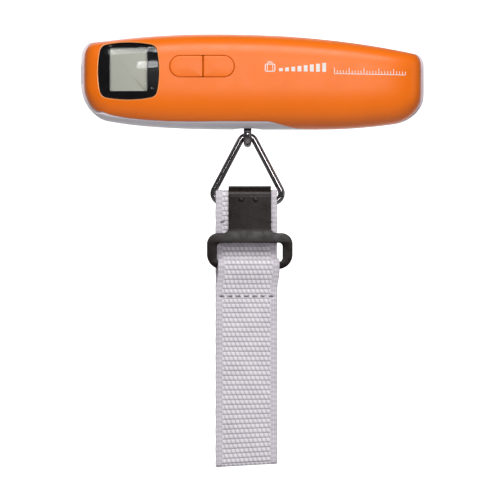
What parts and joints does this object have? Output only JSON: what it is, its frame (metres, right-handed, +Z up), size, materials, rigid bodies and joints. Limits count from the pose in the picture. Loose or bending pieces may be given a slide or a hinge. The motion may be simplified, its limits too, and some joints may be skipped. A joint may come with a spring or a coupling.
{
  "type": "digital luggage scale",
  "caption": "Hand-held digital luggage scale with a crowned two-part housing, a load eye, a triangle ring and a webbing strap with a hook plate.",
  "frame": {"origin": "middle of the grip, where a hand holds the housing", "axes": "+Z up against the load, +X along the grip to its plain end, display facing -Y"},
  "size_m": [0.1392, 0.0284, 0.1738],
  "materials": {
    "orange_plastic": "satin",
    "white_plastic": "satin",
    "screw_steel": "satin",
    "clear_lens": "gloss",
    "black_print": "gloss",
    "lcd_glass": "satin",
    "black_plastic": "matte",
    "zebra_rubber": "matte",
    "board_laminate": "satin",
    "component_body": "matte",
    "switch_steel": "satin",
    "cell_steel": "satin",
    "contact_brass": "satin",
    "beam_aluminium": "satin",
    "gauge_foil": "satin",
    "silicone": "satin",
    "wire_sheath": "satin",
    "zinc_steel": "satin",
    "polished_steel": "polished",
    "webbing": "woven",
    "thread": "woven",
    "black_nickel": "satin"
  },
  "bodies": {
    "housing": {"front_cover": "orange_plastic", "rear_cover": "white_plastic", "cover_screws": "screw_steel", "display_lens": "clear_lens", "lens_mask": "black_print", "lcd_panel": "lcd_glass", "lcd_frame": "black_plastic", "zebra_strip": "zebra_rubber", "circuit_board": "board_laminate", "controller_chip": "black_plastic", "board_components": "component_body", "tact_switches": "switch_steel", "coin_cell": "cell_steel", "battery_tray": "black_plastic", "battery_contacts": "contact_brass", "load_cell": "beam_aluminium", "strain_gauges": "gauge_foil", "gauge_sealant": "silicone", "signal_wires": "wire_sheath", "cell_bracket": "zinc_steel", "cell_screws": "screw_steel", "bracket_screws": "screw_steel", "eye_bushing": "black_plastic", "eye_washer": "screw_steel"},
    "button_power": {"power_button": "orange_plastic"},
    "button_unit": {"unit_button": "orange_plastic"},
    "door": {"battery_door": "white_plastic"},
    "eye": {"load_eye": "polished_steel", "eye_nut": "screw_steel"},
    "ring": {"triangle_ring": "polished_steel"},
    "strap": {"strap_back": "webbing", "bar_tack": "thread"},
    "front_run": {"strap_front": "webbing", "stitch_row": "thread"},
    "hook": {"hook_plate": "black_nickel"}
  },
  "joints": [
    {"name": "power_press", "type": "slide", "parent": "housing", "child": "button_power", "axis": [0, 1, 0], "range_m": [0, 0.0006], "stiffness_N_per_m": 1500, "springref_m": -0.0003},
    {"name": "unit_press", "type": "slide", "parent": "housing", "child": "button_unit", "axis": [0, 1, 0], "range_m": [0, 0.0006], "stiffness_N_per_m": 1500, "springref_m": -0.0003},
    {"name": "door_open", "type": "hinge", "parent": "housing", "child": "door", "pos_m": [-0.041, 0.0119, -0.0113], "axis": [-1, 0, 0], "range_deg": [0, 80]},
    {"name": "eye_swivel", "type": "hinge", "parent": "housing", "child": "eye", "pos_m": [-0.0021, 0.002, -0.01], "axis": [0, 0, 1], "continuous": true},
    {"name": "ring_swing", "type": "hinge", "parent": "eye", "child": "ring", "pos_m": [-0.0021, 0.002, -0.02195], "axis": [1, 0, 0], "range_deg": [-60, 60]},
    {"name": "strap_swing", "type": "hinge", "parent": "ring", "child": "strap", "pos_m": [-0.0021, 0.002, -0.0488], "axis": [1, 0, 0], "range_deg": [-40, 40]},
    {"name": "strap_open", "type": "hinge", "parent": "strap", "child": "front_run", "pos_m": [-0.0021, 0.0007, -0.1545], "axis": [1, 0, 0], "range_deg": [0, 170]},
    {"name": "hook_tip", "type": "hinge", "parent": "front_run", "child": "hook", "pos_m": [-0.0021, -0.00185, -0.0746], "axis": [1, 0, 0], "range_deg": [0, 60]}
  ]
}
